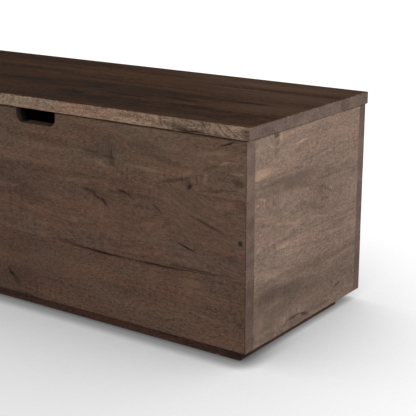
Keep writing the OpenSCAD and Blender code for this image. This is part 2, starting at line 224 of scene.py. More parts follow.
def make_wood_group():
    """The solid wood: grain, rings, pores, flecks, marks and end grain, as one node group."""
    tree = bpy.data.node_groups.new("stained_wood", "ShaderNodeTree")
    sockets = (
        ("INPUT", "Vector", ("Grain", "Seed")),
        ("INPUT", "Float", ("Figure", "Mottle", "Banding", "Hue shift", "Dark marks",
                            "Pale marks", "End grain", "Arris")),
        ("INPUT", "Color", ("Light", "Dark", "Mark colour", "Pale colour", "End tint")),
        ("OUTPUT", "Color", ("Color",)),
        ("OUTPUT", "Float", ("Roughness", "Height")))
    for direction, kind, names in sockets:
        for name in names:
            tree.interface.new_socket(name=name, in_out=direction,
                                      socket_type="NodeSocket" + kind)
    g = Graph(tree)
    given = g.node("NodeGroupInput").outputs
    placed = g.vector("ADD", given["Grain"], given["Seed"])

    # Growth rings round a pith line that wanders along the board
    wander = g.noise(placed, (2.2, 7, 7), detail=3)
    ripple = g.noise(placed, (11, 34, 34), detail=2)
    across = g.split(given["Grain"])
    shift = g.plus(centred(g, wander, 0.085), centred(g, ripple, 0.011))
    depth = g.plus(across[2], PITH_DEPTH)
    radius = g.plus(g.vector("LENGTH", g.join(0.0, across[1], depth)), shift)
    rings = g.noise_along(radius, 1 / RING_WIDTH, detail=3)

    # Streaks, dashes and pores along the grain, and ripples of curl across it
    streak = g.noise(placed, (7, 130, 130), detail=4, roughness=0.6)
    dashes = g.noise(placed, (95, 250, 250), detail=3, roughness=0.7)
    specks = g.noise(placed, (260, 520, 520), detail=2, roughness=0.6)
    pore = g.ramp(g.noise(placed, (60, 1500, 1500), detail=1), 0.60, 0.72)
    curl = g.noise(placed, (130, 16, 16), detail=2)
    curl_zone = g.ramp(g.noise(placed, (6, 10, 10), detail=1), 0.46, 0.66)
    mottle = g.noise(placed, (8, 19, 19), detail=4, roughness=0.6)
    zone = g.noise(placed, (2.6, 12, 12), detail=3)
    band = g.noise(placed, (2.4, 38, 38), detail=3, roughness=0.55)

    tone = g.total([0.5, centred(g, rings, 0.42), centred(g, streak, 0.34),
                    g.times(given["Figure"], centred(g, dashes, 1.35)),
                    g.times(given["Figure"], centred(g, specks, 1.2)),
                    g.times(given["Mottle"], centred(g, mottle, 0.5)),
                    g.times(given["Mottle"], centred(g, zone, 0.5)),
                    g.times(given["Banding"], centred(g, band, 1.0)),
                    g.times(curl_zone, centred(g, curl, 0.6)),
                    g.times(pore, -0.25)])
    tone = g.ramp(tone, 0.0, 1.0, smooth=False)
    colour = g.mix(tone, given["Dark"], given["Light"])
    hue = g.ramp(g.noise(placed, (7, 32, 32), detail=3), 0.30, 0.70)
    shifted = g.mix(1.0, colour, g.mix(hue, (0.86, 1.02, 1.03, 1), (1.14, 0.97, 0.92, 1)),
                    "MULTIPLY")
    colour = g.mix(given["Hue shift"], colour, shifted)

    # Marks soak up more stain, pale patches less. Some boards' marks are painted shade or painted sheen instead.
    grainy = g.ramp(g.plus(streak, centred(g, dashes, 1.0)), 0.28, 0.58, 0.6, 1.0)
    dark = g.times(given["Dark marks"], grainy)
    pale = g.times(given["Pale marks"], g.ramp(streak, 0.35, 0.6, 0.5, 1.0))
    colour = g.mix(pale, colour, given["Pale colour"])
    colour = g.mix(dark, colour, given["Mark colour"])

    # End grain: arcs and open vessels, darker and greyer
    vessel = g.ramp(g.noise(placed, (300, 1300, 1300), detail=1), 0.56, 0.68)
    arcs = g.times(g.ramp(rings, 0.3, 0.7, 0.93, 1.06),
                   g.ramp(g.noise(placed, (1, 26, 26), detail=2), 0.34, 0.66, 0.86, 1.12))
    even_tone = g.math("MULTIPLY_ADD", tone, 0.45, 0.25)
    end_colour = g.mix(1.0, g.mix(even_tone, given["Dark"], given["Light"]),
                       given["End tint"], "MULTIPLY")
    end_colour = g.mix(1.0, end_colour, g.join(arcs, arcs, arcs), "MULTIPLY")
    end_colour = g.mix(g.times(vessel, 0.3), end_colour, given["Mark colour"])
    colour = g.mix(given["End grain"], colour, end_colour)

    # Darker along the arrises, partly stain that gathers there and partly painted shade on the rounded edges, and
    # rubbed through in places
    colour = g.mix(g.times(given["Arris"], 0.3), colour, given["Mark colour"])
    worn = g.times(given["Arris"], g.ramp(streak, 0.52, 0.68, 0.0, 0.35))
    colour = g.mix(worn, colour, given["Pale colour"])

    height = g.total([g.times(pore, -0.8), centred(g, specks, 0.6),
                      centred(g, dashes, 0.6), centred(g, rings, 0.3),
                      g.times(given["Dark marks"], -0.5)])
    roughness = g.total([0.62, centred(g, mottle, 0.2), g.times(pore, 0.12),
                         g.times(given["End grain"], 0.12),
                         g.times(given["Dark marks"], -0.08)])
    g.fill(g.node("NodeGroupOutput").inputs, (colour, roughness, height))
    return tree


WOOD = make_wood_group()

# A wood's colours, in sRGB: light and dark grain, marks, and pale patches
FRONT_TONE = dict(light=(138, 112, 96), dark=(76, 58, 48), mark=(47, 35, 29), pale=(158, 132, 110),
                  end=(0.96, 1.08, 1.24), figure=1.2, mottle=1.2, banding=0.35, hue=0.5)
# END_TONE is lighter than FRONT_TONE, in part as painted light on the ends that face the key light.
END_TONE = dict(light=(162, 137, 121), dark=(101, 82, 71), mark=(62, 46, 40), pale=(190, 158, 128),
                end=(0.8, 0.84, 0.92), figure=1.05, mottle=0.7, banding=0.4, hue=0.15)
# LID_TONE is darker than FRONT_TONE: partly a darker stain on the lid, partly painted shade of its weakly lit top.
LID_TONE = dict(light=(121, 84, 59), dark=(54, 36, 25), mark=(26, 17, 13), pale=(134, 104, 84),
                end=(0.375, 0.395, 0.46), figure=1.6, mottle=1.4, banding=1.3, hue=0.5,
                specular=0.15)
LID_EDGE_TONE = dict(light=(216, 182, 156), dark=(126, 102, 86), mark=(46, 33, 26),
                     pale=(226, 198, 158))
PLINTH_TONE = dict(light=(98, 64, 50), dark=(48, 30, 24), mark=(24, 16, 13), pale=(112, 80, 64),
                   end=(0.8, 0.8, 0.85), figure=1.4, mottle=1.4, banding=1.0, hue=0.5)
INNER_TONE = dict(light=(150, 124, 104), dark=(100, 80, 66), mark=(56, 42, 34), pale=(172, 146, 122),
                  end=(0.8, 0.82, 0.85), figure=1.0, mottle=1.0, banding=0.4, hue=0.5)

# How much darker the end grain of a lower board is
END_SHADE = {"wood_front_board_lower": 0.78, "wood_front_board_middle": 0.88,
             "wood_front_board_upper": 1.02}

# Which of the frame's axes run along, across and through a board
ALONG_X_UPRIGHT = (0, 2, 1)
ALONG_Y_UPRIGHT = (1, 2, 0)
ALONG_X_FLAT = (0, 1, 2)
ALONG_Y_FLAT = (1, 0, 2)


def mark_mask(g, place, mark, wobble):
    """Soft oval of a mark, as MARKS lists them."""
    along, across, half_length, half_width, strength = mark[:5]
    tilt = mark[5] if len(mark) > 5 else 0
    fitted = g.node("ShaderNodeMapping", vector_type="TEXTURE")
    g.put(fitted.inputs["Vector"], g.vector("ADD", place, wobble))
    fitted.inputs["Location"].default_value = (along * MM, across * MM, 0)
    fitted.inputs["Rotation"].default_value = (0, 0, math.radians(tilt))
    fitted.inputs["Scale"].default_value = (half_length * MM, half_width * MM, 1)
    distance = g.vector("LENGTH", fitted.outputs[0])
    return g.ramp(distance, 0.25, 1.0, strength, 0.0)


def summed_marks(g, place, marks, wobble):
    if not marks:
        return 0.0
    return g.total([mark_mask(g, place, mark, wobble) for mark in marks])


def wood_material(name, tone, axes, centre, seed, marks=None, tint=(1, 1, 1), edge_tone=None):
    """Wood of one board. marks holds lists named dark, pale, edge_dark and swirls. edge_tone colours the narrow
    faces of a board whose flat face is darker, partly by stain and partly by painted shade."""
    marks = marks or {}
    material, g, shader = new_material(name, tone.get("specular", 0.3))
    coordinates = g.node("ShaderNodeTexCoord")
    place = g.split(coordinates.outputs["Object"])
    facing = g.split(coordinates.outputs["Normal"])
    along, across, through = axes
    flat = g.join(place[along], place[across], 0.0)
    wander = g.noise(flat, (55, 55, 55), detail=5, roughness=0.62, output="Color")
    wobble = g.vector("MULTIPLY", g.vector("SUBTRACT", wander, (0.5, 0.5, 0.5)),
                      (16 * MM, 9 * MM, 0))
    deflection = g.times(summed_marks(g, flat, marks.get("swirls", []), wobble), MM)
    grain = g.join(g.minus(place[along], centre[along]),
                   g.plus(g.minus(place[across], centre[across]), deflection),
                   g.minus(place[through], centre[through]))
    on_face = g.ramp(g.math("ABSOLUTE", facing[through]), 0.5, 0.85)
    edge_flat = g.join(place[along], place[through], 0.0)
    edge_dark = g.times(g.minus(1.0, on_face),
                        summed_marks(g, edge_flat, marks.get("edge_dark", []), wobble))
    slot_shade_mask, corner, arris = [g.node("ShaderNodeAttribute", attribute_name=name).outputs["Fac"]
                             for name in ("slot_shade_mask", "corner", "arris")]
    # The rounded upright corners at a board's ends get a darker line, partly stain and partly painted shade on the
    # rounded corner.
    dark = g.total([summed_marks(g, flat, marks.get("dark", []), wobble), edge_dark,
                    g.times(corner, 1.5)])
    pale = summed_marks(g, flat, marks.get("pale", []), wobble)
    shaded_end = [c * END_SHADE.get(name, 1.0) for c in tone["end"]]
    values = {"Grain": grain, "Seed": (seed * 3.17, seed * 1.31, seed * 0.73),
              "Figure": tone["figure"], "Mottle": tone["mottle"],
              "Banding": g.times(on_face, tone["banding"]), "Hue shift": tone["hue"],
              "Dark marks": g.math("MINIMUM", dark, 1.0),
              "Pale marks": g.math("MINIMUM", pale, 1.0),
              "End grain": g.ramp(g.math("ABSOLUTE", facing[along]), 0.5, 0.85),
              "Arris": arris, "End tint": shaded_end + [1.0]}

    def shade(colour):
        return scaled(linear(*colour), tint)

    colours = (("Light", "light"), ("Dark", "dark"), ("Mark colour", "mark"),
               ("Pale colour", "pale"))
    for socket, key in colours:
        values[socket] = shade(tone[key])
        if edge_tone:
            values[socket] = g.mix(on_face, shade(edge_tone[key]), values[socket])
    group = g.node("ShaderNodeGroup", node_tree=WOOD)
    for socket, value in values.items():
        g.put(group.inputs[socket], value)
    # Painted shade: the faces inside the finger slot are darkened towards near black, the more the further into
    # the board, for the shade inside the slot.
    inward = g.ramp(place[through], FRONT_Y + 5 * MM, FRONT_Y + 18 * MM, 0.75, 0.99)
    painted_slot_shade = g.mix(inward, group.outputs["Color"], linear(12, 9, 8))
    g.put(shader.inputs["Base Color"], g.mix(slot_shade_mask, group.outputs["Color"], painted_slot_shade))
    g.put(shader.inputs["Roughness"], group.outputs["Roughness"])
    add_bump(g, shader, group.outputs["Height"], 0.3 * MM, 0.8)
    return material


# ---- Mesh work ----

def welded(node):
    """A copy of a CAD node's mesh with its vertices joined up."""
    bm = bmesh.new()
    bm.from_mesh(frame["nodes"][node].data)
    bmesh.ops.remove_doubles(bm, verts=bm.verts, dist=0.002 * MM)
    return bm


def cad_shape(node):
    """A CAD node's mesh with its flat faces in one piece."""
    bm = welded(node)
    bmesh.ops.dissolve_limit(bm, angle_limit=math.radians(0.4), verts=bm.verts,
                             edges=bm.edges, use_dissolve_boundaries=False)
    return bm


def add_object(name, data):
    made = bpy.data.objects.new(name, data)
    bpy.context.scene.collection.objects.link(made)
    return made


def make_object(name, bm, material):
    mesh = bpy.data.meshes.new(name)
    bmesh.ops.recalc_face_normals(bm, faces=bm.faces)
    bm.to_mesh(mesh)
    bm.free()
    carried = mesh.attributes.get("custom_normal")
    if carried:
        mesh.attributes.remove(carried)
    mesh.materials.append(material)
    return add_object(name, mesh)


def settle(piece, nodes, smooth_angle=35):
    """Applies the piece's modifiers, smooths its curved faces and puts it on its body."""
    bpy.context.view_layer.update()
    evaluated = piece.evaluated_get(bpy.context.evaluated_depsgraph_get())
    mesh = bpy.data.meshes.new_from_object(evaluated)
    piece.modifiers.clear()
    piece.data = mesh
    mesh.set_sharp_from_angle(angle=math.radians(smooth_angle))
    for polygon in mesh.polygons:
        polygon.use_smooth = max(abs(c) for c in polygon.normal) < 0.9999
    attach(piece, BODY[nodes[0]])
    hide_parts(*nodes)
    return piece


def mark_faces(piece, name, chosen):
    """Writes a face attribute that is 1 on the chosen faces."""
    attribute = piece.data.attributes.new(name, "FLOAT", "FACE")
    for polygon, value in zip(piece.data.polygons, attribute.data):
        value.value = 1.0 if chosen(polygon) else 0.0


def is_in_slot(polygon):
    """True of the faces inside the finger slot."""
    near = (polygon.center - SLOT_MIDDLE).length < SLOT_REACH
    return near and abs(polygon.normal.y) < 0.95 and abs(polygon.normal.z) < 0.9999


def is_eased(polygon):
    """True of the narrow rounded faces along the edges."""
    return max(abs(c) for c in polygon.normal) < 0.999 and not is_in_slot(polygon)


def is_upright_corner(polygon):
    """True of the rounded faces that stand at a board's ends."""
    return is_eased(polygon) and abs(polygon.normal.z) < 0.3


def lies_at(edge, axis, level):
    return all(abs(vertex.co[axis] - level) < 0.02 * MM for vertex in edge.verts)


def planes_shared(edge, box):
    """How many of a box's six planes an edge lies in."""
    return sum(lies_at(edge, axis, corner[axis]) for axis in range(3) for corner in box)


def ease(bm, largest, width_of):
    """Gives each sharp outer edge a bevel weight, its own width over the piece's largest."""
    layer = bm.edges.layers.float.new("bevel_weight_edge")
    for edge in bm.edges:
        if edge.calc_face_angle(0.0) > math.radians(50) and edge.is_convex:
            edge[layer] = width_of(edge) / largest


def bevel_by_weight(piece, width, segments):
    modifier = piece.modifiers.new("eased", "BEVEL")
    modifier.limit_method = "WEIGHT"
    modifier.width = width
    modifier.segments = segments
    modifier.use_clamp_overlap = True


ARRIS = 1.6 * MM          # the widest easing, and the width a bevel weight of 1 stands for
RIM = 0.8 * MM
SLOT_RIM = 1.0 * MM


def case_arris(edge):
    """Width of a case board's edge: full on the outside, small round the cavity's rim."""
    if planes_shared(edge, CASE_BOX) >= 2:
        return ARRIS
    start, end = [vertex.co for vertex in edge.verts]
    inside = abs(start.x + end.x) / 2 < CASE_BOX[1].x - 5 * MM
    long_enough = (end - start).length > 100 * MM
    return RIM if lies_at(edge, 2, CASE_BOX[1].z) and inside and long_enough else 0.0


def slot_arris(edge):
    """As case_arris, with the finger slot's edges eased too."""
    on_face = lies_at(edge, 1, FRONT_Y) or lies_at(edge, 1, FRONT_INNER_Y)
    near = all(abs(vertex.co.x - SLOT_MIDDLE.x) < SLOT_REACH for vertex in edge.verts)
    below_top = min(vertex.co.z for vertex in edge.verts) < CASE_BOX[1].z - 0.1 * MM
    return SLOT_RIM if on_face and near and below_top else case_arris(edge)


def lid_arris(edge):
    return ARRIS if planes_shared(edge, LID_BOX) >= 2 else 0.0


def make_split_material():
    """The rough wood inside a check, painted nearly black as the shade inside the split."""
    material, g, shader = new_material("painted_split_shade", 0.1, 0.9)
    place = g.object_place()
    rough = g.noise(place, (300, 300, 300), detail=3)
    g.put(shader.inputs["Base Color"],
          g.mix(rough, linear(34, 24, 20), linear(60, 45, 37)))
    add_bump(g, shader, rough, 0.2 * MM)
    return material


PAINTED_SPLIT_SHADE = make_split_material()


def add_walls(bm, a, b):
    """The faces between two rings with the same number of vertices."""
    for i in range(len(a)):
        j = (i + 1) % len(a)
        bm.faces.new((a[i], a[j], b[j], b[i]))


def skin(bm, rings):
    """Closes a row of vertex rings into a tube with flat ends."""
    for a, b in zip(rings, rings[1:]):
        add_walls(bm, a, b)
    bm.faces.new(rings[0])
    bm.faces.new(rings[-1])


def crack_cutter(name, start, end, outwards, width, depth, sag=0.0, swell=()):
    """A thin tapering wedge from start to end on a face, to be cut out of a board. swell is
    a list of (place along it, spread, extra width). Widths, depth and sag are in mm."""
    bm = bmesh.new()
    width, depth, sag = width * MM, depth * MM, sag * MM
    start, end, outwards = Vector(start), Vector(end), Vector(outwards)
    line = end - start
    sideways = outwards.cross(line).normalized()
    steps = max(10, int(line.length / (4 * MM)))
    rings = []
    for i in range(steps + 1):
        t = i / steps
        taper = math.sin(math.pi * min(max(t, 0.01), 0.99)) ** 0.6
        wide = width * taper
        for place, spread, extra in swell:
            wide += extra * MM * math.exp(-((t - place) / spread) ** 2) * taper
        wide *= 1 + 0.22 * math.sin(23 * t + 1.3) + 0.12 * math.sin(61 * t)
        drift = sag * math.sin(math.pi * t) + 0.25 * width * math.sin(17 * t)
        middle = start + line * t + sideways * drift
        half = max(wide, 0.08 * MM) / 2
        deep = depth * (0.35 + 0.65 * taper)
        rings.append([bm.verts.new(middle + outwards * 0.5 * MM + sideways * half * 1.1),
                      bm.verts.new(middle - outwards * deep + sideways * half * 0.25),
                      bm.verts.new(middle - outwards * deep - sideways * half * 0.25),
                      bm.verts.new(middle + outwards * 0.5 * MM - sideways * half * 1.1)])
    skin(bm, rings)
    return make_object(name, bm, PAINTED_SPLIT_SHADE)


def on_front(x, z):
    return (x * MM, FRONT_Y, z * MM)


def on_right(y, z):
    return (CASE_BOX[1].x, y * MM, z * MM)


joint = JOINT_Z / MM
FORWARDS = (0, -1, 0)
RIGHTWARDS = (1, 0, 0)
CRACKS = {
    "joint": dict(start=on_front(35, joint), end=on_front(529, joint + 4),
                  outwards=FORWARDS, width=0.8, depth=1.2, sag=-7,
                  swell=[(0.13, 0.06, 0.9), (0.22, 0.07, 1.2), (0.33, 0.05, 0.9),
                         (0.60, 0.05, 1.1), (0.70, 0.05, 1.1)]),
    "check": dict(start=on_front(374, 214.5), end=on_front(417, 203.5), outwards=FORWARDS,
                  width=1.9, depth=1.3),
    "slash": dict(start=on_front(473, 415), end=on_front(508, 427), outwards=FORWARDS,
                  width=1.9, depth=1.1),
    "crescent": dict(start=on_right(-78, 40), end=on_right(-8, 38), outwards=RIGHTWARDS,
                     width=1.4, depth=0.9, sag=5),
}
cutters = {name: crack_cutter("cutter_" + name, **shape) for name, shape in CRACKS.items()}
CUT_BY = {"front_board_lower": ["joint"], "front_board_middle": ["joint", "check"],
          "front_board_upper": ["slash"], "right_end_board_1": ["crescent"]}


def keep_inside(piece, box):
    """Puts back any vertex that an easing has pushed past the board's own box."""
    for vertex in piece.data.vertices:
        vertex.co = [min(max(c, low), high) for c, low, high in zip(vertex.co, *box)]


def make_board(node, material, width_of):
    """A board as the CAD has it, with its cracks cut and its outer edges eased."""
    bm = cad_shape(node)
    ease(bm, ARRIS, width_of)
    piece = make_object(node + "_wood", bm, material)
    for name in CUT_BY.get(node, []):
        modifier = piece.modifiers.new("crack", "BOOLEAN")
        modifier.operation = "DIFFERENCE"
        modifier.solver = "EXACT"
        modifier.material_mode = "TRANSFER"
        modifier.object = cutters[name]
    bevel_by_weight(piece, ARRIS, 3)
    settle(piece, [node])
    keep_inside(piece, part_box(node))
    mark_faces(piece, "arris", is_eased)
    if node in FRONT_BOARDS:
        mark_faces(piece, "slot_shade_mask", is_in_slot)
        mark_faces(piece, "corner", is_upright_corner)
    return piece


# ---- Marks that show on each board: (along, across, half length, half width, strength, tilt),
# in mm and degrees, with the tilt left out where it is level. The strength of a swirl is how
# far it pushes the grain, in mm ----

MARKS = {
    "front_board_lower": dict(dark=[
        (150, joint - 4, 90, 4, 0.7, -2), (205, joint - 6.5, 60, 4, 0.5),
        (335, joint - 4.5, 80, 4, 0.75, 1.5), (270, joint - 6, 120, 3, 0.4),
        (-72, 66, 26, 5, 0.7, -44), (-60, 52, 30, 12, 0.4, -40), (-45, 24, 60, 8, 0.5),
        (445, 120, 46, 3, 0.3, 4), (-60, 95, 260, 90, 0.22)], pale=[
        (410, 140, 34, 12, 0.35, -6), (435, 78, 60, 4, 0.3, -8)], swirls=[
        (-75, 50, 60, 30, 14, -40)]),
    "front_board_middle": dict(dark=[
        (400, joint + 2, 90, 4, 0.6, 2), (100, joint + 1, 60, 4, 0.6, -2),
        (480, joint + 3.5, 60, 3, 0.45, 1), (397, 209, 30, 3.5, 0.8, -15),
        (328, 274, 22, 3.6, 0.75, -34), (446, 262, 58, 6, 0.65, -17), (156, 284, 30, 5, 0.75, -6),
        (194, 267, 18, 6, 0.75, -50), (176, 275, 18, 5, 0.7, -30), (250, 293, 26, 6, 0.6, -3),
        (264, 287, 18, 4, 0.5, -20), (300, 293, 40, 7, 0.4, -2), (226, 290, 30, 6, 0.4, -8),
        (185, 280, 60, 22, 0.25, -20), (240, 296, 18, 5, 0.6), (501, 204, 22, 12, 0.3, -10),
        (75, 212, 80, 3, 0.35, -6), (-20, 250, 90, 20, 0.2)], pale=[
        (485, 305, 26, 12, 0.25, 20), (120, 300, 60, 6, 0.25, 4)], swirls=[
        (480, 330, 190, 130, 75, -30), (180, 272, 50, 24, -14, -20)]),
    "front_board_upper": dict(dark=[
        (491, 421.5, 24, 3.4, 0.8, 20), (200, 388, 60, 34, 0.28), (218, 350, 11, 13, 0.6, 20),
        (216, 366, 7, 20, 0.35, 14), (160, 366, 34, 6, 0.35, -8), (208, 360, 22, 5, 0.4),
        (181, 362, 60, 16, 0.25), (345, 372, 90, 8, 0.4, -8), (300, 392, 70, 16, 0.3, -6),
        (367, 336, 60, 6, 0.6, 14), (135, 410, 60, 10, 0.3), (515, 352, 22, 10, 0.5),
        (470, 330, 60, 4, 0.5, 8), (405, 328.5, 8, 7, 1.0, 60), (402, 334, 14, 12, 0.4, 60),
        (60, 372, 90, 14, 0.25, -4), (455, 372, 30, 5, 0.4, 20)], pale=[
        (440, 349, 7, 15, 0.55), (484, 384, 20, 4, 0.7, 14), (455, 398, 60, 7, 0.4, 10),
        (513, 369, 22, 3, 0.7, 4), (187, 343, 24, 5, 0.5, -20), (395, 352, 22, 6, 0.35, 20),
        (300, 350, 70, 7, 0.35, -4), (400, 380, 150, 44, 0.22)], swirls=[
        (405, 328.5, 40, 30, 20), (206, 395, 50, 36, -22, 20)]),
    "right_end_board_1": dict(dark=[
        (-150, 122, 90, 26, 0.3, -4), (-160, 80, 110, 70, 0.28), (0, 84, 240, 50, 0.2, -6),
        (-86, 38, 16, 5, 0.6, 20), (-57, 44, 34, 7, 0.7), (-12, 37, 26, 6, 0.7, -18),
        (-46, 32, 50, 12, 0.5), (60, 36, 60, 5, 0.35), (-205, 40, 14, 12, 0.4),
        (120, 60, 20, 5, 0.6, 10), (-60, 110, 60, 30, 0.25)], pale=[
        (-130, 92, 44, 5, 0.45, 4), (-180, 62, 30, 18, 0.3, 60)], swirls=[
        (-52, 24, 74, 40, 26)]),
    "right_end_board_2": dict(dark=[
        (20, 180, 160, 3, 0.25, -8), (100, 196, 70, 8, 0.25, 4)], pale=[
        (-102, 204, 36, 7, 0.7)]),
    "right_end_board_3": dict(dark=[
        (-70, 326, 190, 26, 0.3, -2), (-40, 330, 60, 14, 0.15, -4), (60, 285, 70, 5, 0.35, -22),
        (0, 262, 60, 9, 0.25, -20)], pale=[
        (-176, 312, 20, 4, 0.6, -20), (-191, 303, 5, 4, 0.9), (-150, 268, 70, 10, 0.25, -14),
        (-90, 246, 60, 5, 0.4, -12)], swirls=[
        (65, 252, 84, 34, 46, -6), (166, 244, 34, 22, 20),
        (-140, 285, 60, 30, 24, -10)]),
    "right_end_board_4": dict(dark=[
        (-129, 427, 12, 9, 0.95), (-124, 412, 9, 5, 0.5, 50), (20, 362, 90, 4, 0.3, 6),
        (-130, 395, 8, 18, 0.3), (-40, 385, 50, 10, 0.25, 10)], pale=[
        (-178, 361, 52, 13, 0.5, 4), (-40, 398, 34, 3, 0.6, 4), (-112, 419, 6, 12, 0.6, -20)], swirls=[
        (-128, 417, 34, 30, 26)]),
    # The dark marks at the plinth rails' near right corner are painted shade under the case's overhang.
    "plinth_front_rail": dict(dark=[
        (515, FRONT_Y / MM, 60, 40, 0.8)]),
    "plinth_right_rail": dict(dark=[
        (-215, 515, 60, 40, 0.8)]),
    # On the lid's top the broad dark marks of the front boards and the broad pale marks of the back boards and at
    # the right are painted sheen: the top is made lighter towards the back and right.
    "lid_board_1": dict(dark=[
        (8, -131, 26, 11, 1.0), (49, -131, 24, 10, 1.0), (28, -125, 80, 14, 0.5),
        (231, -144, 24, 9, 0.9), (333, -120, 90, 9, 0.85, 3), (75, -150, 120, 9, 0.6),
        (469, -150, 44, 12, 0.7, 6), (100, -175, 600, 80, 0.35)], pale=[
        (395, -205, 120, 12, 0.3)], edge_dark=[
        # The long thin edge_dark marks low on the lid's front edge are painted shade along its lower rim next to
        # the case; the short slanting ones are dark grain.
        (441, 446, 24, 1.8, 0.75, -46), (458, 444, 18, 1.3, 0.5, -46), (478, 445, 24, 1.4, 0.55, -40),
        (500, 444, 30, 1.8, 0.7, -34), (515, 441, 18, 1.5, 0.5, -30), (534, 444, 22, 20, 0.6),
        (392, 438, 56, 8, 0.5, -4), (430, 444, 170, 40, 0.18), (338, 446, 5, 9, 0.3, 8),
        (312, 447, 4, 9, 0.35, -6), (372, 448, 5, 8, 0.3, 14), (284, 444, 5, 10, 0.3, 10),
        (250, 446, 40, 7, 0.25), (160, 450, 50, 5, 0.25), (440, 434, 110, 4, 0.4)]),
    "lid_board_2": dict(dark=[
        (149, -97, 90, 10, 0.8, -2), (280, -78, 60, 10, 0.9, -4), (36, -61, 40, 8, 0.7),
        (415, -32, 70, 14, 0.8, 3), (-165, -60, 120, 11, 0.6, 2), (0, -60, 500, 90, 0.5)], pale=[
        (305, -60, 50, 7, 0.5, 6), (120, -30, 120, 10, 0.3), (470, -60, 150, 70, 0.35)]),
    "lid_board_3": dict(dark=[
        (215, 60, 140, 8, 0.5, 2), (-105, 40, 120, 8, 0.5, -2)], pale=[
        (460, 47, 20, 8, 0.5, 10), (300, 90, 120, 10, 0.3), (440, 60, 300, 80, 0.42)]),
    "lid_board_4": dict(dark=[
        (75, 150, 160, 12, 0.5, 1)], pale=[
        (370, 150, 180, 40, 0.35), (340, 180, 400, 80, 0.42)]),
}

TINTS = {"front_board_lower": (1.07, 0.96, 0.90), "front_board_middle": (1.13, 1.03, 0.98),
         "front_board_upper": (1.17, 1.10, 1.03)}
# plinth_right_rail's low value is painted shade under the case's overhang.
VALUES = {"right_end_board_1": 0.84, "right_end_board_2": 1.0, "right_end_board_3": 0.95,
          "right_end_board_4": 1.08, "left_end_board_1": 0.95, "left_end_board_2": 1.08,
          "left_end_board_3": 0.9, "left_end_board_4": 1.05, "back_board_lower": 0.95,
          "back_board_middle": 1.06, "back_board_upper": 1.0, "plinth_right_rail": 0.62}


def board_material(node, tone, axes, seed, edge_tone=None):
    low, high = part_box(node)
    tint = TINTS.get(node, [VALUES.get(node, 1.0)] * 3)
    return wood_material("wood_" + node, tone, axes, (low + high) / 2, seed, MARKS.get(node),
                         tint, edge_tone)


seed = 1
for node in FRONT_BOARDS + BACK_BOARDS:
    width_of = slot_arris if node == "front_board_upper" else case_arris
    make_board(node, board_material(node, FRONT_TONE, ALONG_X_UPRIGHT, seed), width_of)
    seed += 1
for node in END_BOARDS:
    make_board(node, board_material(node, END_TONE, ALONG_Y_UPRIGHT, seed), case_arris)
    seed += 1
for node in LID_BOARDS:
    make_board(node, board_material(node, LID_TONE, ALONG_X_FLAT, seed, LID_EDGE_TONE), lid_arris)
    seed += 1


def make_eased(node, material, width, segments=2):
    """A CAD shape with all of its sharp outer edges eased by one width."""
    bm = cad_shape(node)
    ease(bm, width, lambda edge: width)
    piece = make_object(node + "_finished", bm, material)
    bevel_by_weight(piece, width, segments)
    settle(piece, [node])
    return piece


for node, tone, axes, width in (
        ("bottom_panel", INNER_TONE, ALONG_X_FLAT, 0.3 * MM),
        ("plinth_front_rail", PLINTH_TONE, ALONG_X_FLAT, 1.0 * MM),
        ("plinth_back_rail", PLINTH_TONE, ALONG_X_FLAT, 1.0 * MM),
        ("plinth_left_rail", PLINTH_TONE, ALONG_Y_FLAT, 1.0 * MM),
        ("plinth_right_rail", PLINTH_TONE, ALONG_Y_FLAT, 1.0 * MM),
        ("plinth_cross_rail", INNER_TONE, ALONG_Y_FLAT, 1.0 * MM),
        ("plinth_corner_blocks", INNER_TONE, ALONG_X_FLAT, 0.8 * MM),
        ("lid_batten_left", LID_TONE, ALONG_Y_FLAT, 2.0 * MM),
        ("lid_batten_right", LID_TONE, ALONG_Y_FLAT, 2.0 * MM)):
    piece = make_eased(node, board_material(node, tone, axes, seed), width)
    mark_faces(piece, "arris", is_eased)
    seed += 1

for cutter in cutters.values():
    bpy.data.objects.remove(cutter)


# ---- Metal, plastic and rubber ----

def plain_material(name, colour, metallic, roughness, grain=(400, 400, 400), contrast=0.12,
                   bump=0.02 * MM, specular=0.5):
    """A finish with fine variation in colour and gloss, stretched the way it was worked."""
    material, g, shader = new_material(name, specular)
    place = g.object_place()
    fine = g.noise(place, grain, detail=3, roughness=0.6)
    broad = g.noise(place, (30, 30, 30), detail=3)
    base = linear(*colour)
    darker = scaled(base, [1 - contrast] * 3)
    paler = scaled(base, [1 + contrast] * 3)
    mixed = g.plus(g.times(fine, 0.6), g.times(broad, 0.4))
    g.put(shader.inputs["Base Color"], g.mix(g.ramp(mixed, 0.3, 0.7), darker, paler))
    shader.inputs["Metallic"].default_value = metallic
    g.put(shader.inputs["Roughness"], g.ramp(mixed, 0.25, 0.75, roughness * 0.8, roughness * 1.2))
    add_bump(g, shader, fine, bump)
    return material


HINGE_STEEL = plain_material("hinge_steel", (150, 149, 146), 1.0, 0.34, (60, 900, 900))
SCREW_ZINC = plain_material("screw_zinc", (178, 174, 160), 1.0, 0.30)
BRAD_BLACK = plain_material("brad_black", (38, 34, 32), 0.6, 0.6)
STRUT_BLACK = plain_material("strut_black", (26, 26, 28), 0.0, 0.36, bump=0.01 * MM)
BRACKET_BLACK = plain_material("bracket_black", (34, 34, 36), 0.3, 0.45)
ROD_CHROME = plain_material("rod_chrome", (205, 205, 208), 1.0, 0.12, contrast=0.04,
                            bump=0.002 * MM)
SOCKET_NYLON = plain_material("socket_nylon", (30, 30, 31), 0.0, 0.55)
CLIP_STEEL = plain_material("clip_steel", (190, 190, 190), 1.0, 0.25)
GLIDE_NYLON = plain_material("glide_nylon", (214, 210, 200), 0.0, 0.5, contrast=0.05)
BUMPER_RUBBER = plain_material("bumper_rubber", (150, 145, 138), 0.0, 0.75, contrast=0.08)


